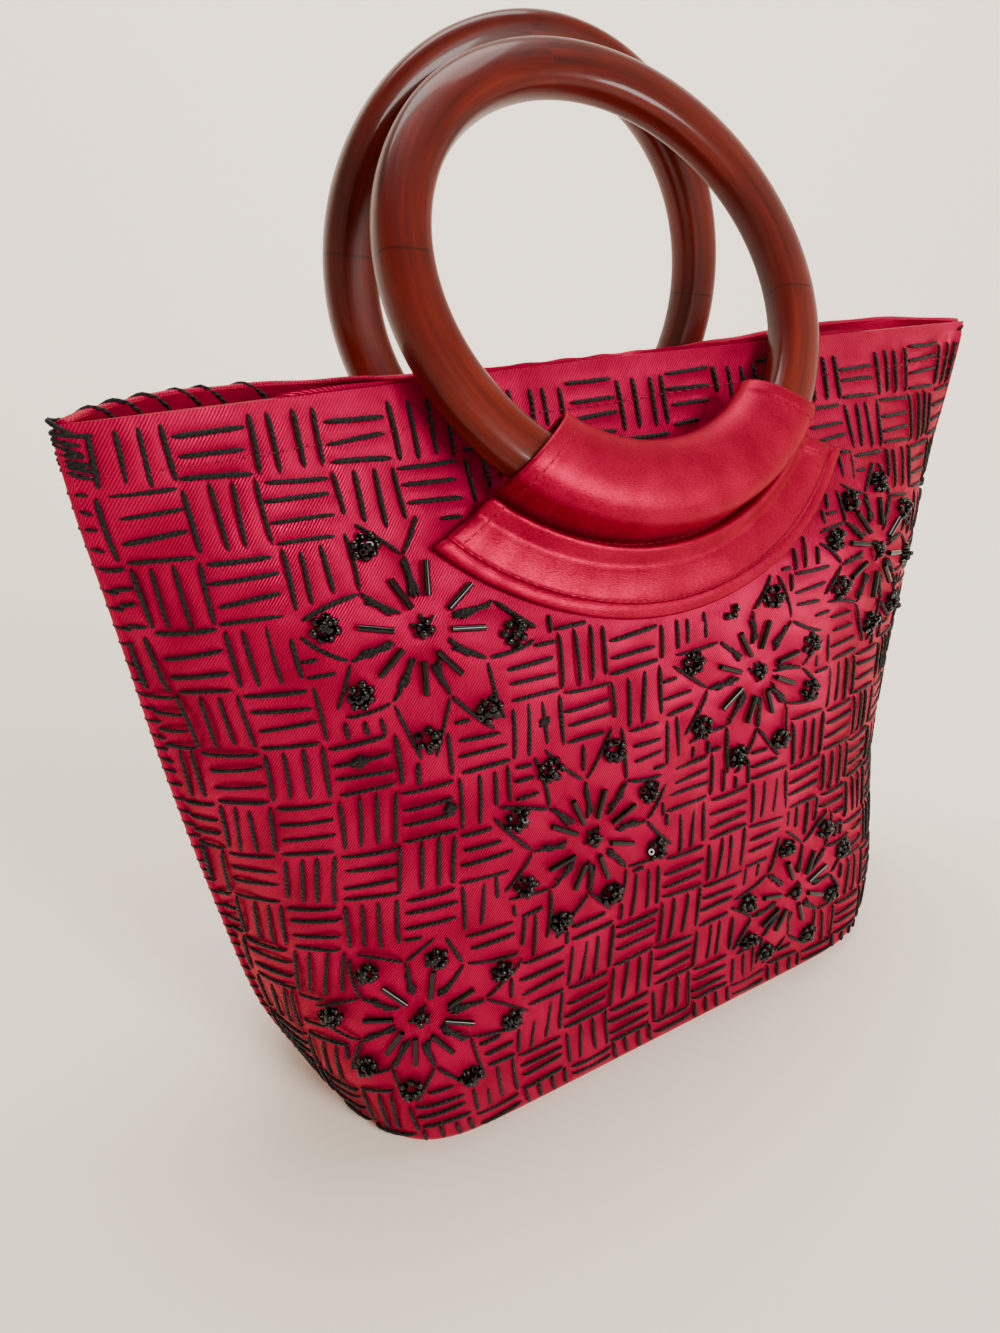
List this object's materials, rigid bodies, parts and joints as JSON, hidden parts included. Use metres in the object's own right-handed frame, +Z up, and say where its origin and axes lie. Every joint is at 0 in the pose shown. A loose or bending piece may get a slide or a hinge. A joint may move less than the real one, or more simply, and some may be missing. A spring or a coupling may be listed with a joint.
{
  "type": "wooden ring handle handbag",
  "caption": "Soft satin handbag, boxy at its base and narrow at its mouth, with basket weave stitching, beaded flowers and round wooden handles in crescent cloth casings.",
  "frame": {"origin": "on the floor, under the middle of the bag's base", "axes": "+X along the bag to its right side seam, +Y from the embroidered front to the back, +Z up"},
  "size_m": [0.3012, 0.1166, 0.3083],
  "materials": {
    "satin": "crimson satin with a fine diagonal twill face",
    "plain_satin": "smooth crimson satin, not embroidered",
    "lining": "matte dark red lining cloth",
    "thread": "matte black twisted embroidery thread",
    "wood": "mahogany stain under a soft gloss lacquer",
    "beads": "glossy opaque black glass"
  },
  "bodies": {
    "bag": {"base_panel": "satin", "front_panel": "satin", "front_lining": "lining", "front_facing": "plain_satin", "front_casing": "plain_satin", "back_panel": "satin", "back_lining": "lining", "back_facing": "plain_satin", "back_casing": "plain_satin", "left_seam": "thread", "right_seam": "thread"},
    "front_handle": {"front_ring": "wood"},
    "back_handle": {"back_ring": "wood"}
  },
  "joints": [
    {"name": "front_ring_turn", "type": "hinge", "parent": "bag", "child": "front_handle", "pos_m": [0.0003, 0.0056, 0.2424], "axis": [-0.0143, 0.817, -0.5764], "continuous": true},
    {"name": "back_ring_turn", "type": "hinge", "parent": "bag", "child": "back_handle", "pos_m": [0.001, 0.0487, 0.2387], "axis": [0, 0.9947, -0.1028], "continuous": true}
  ]
}
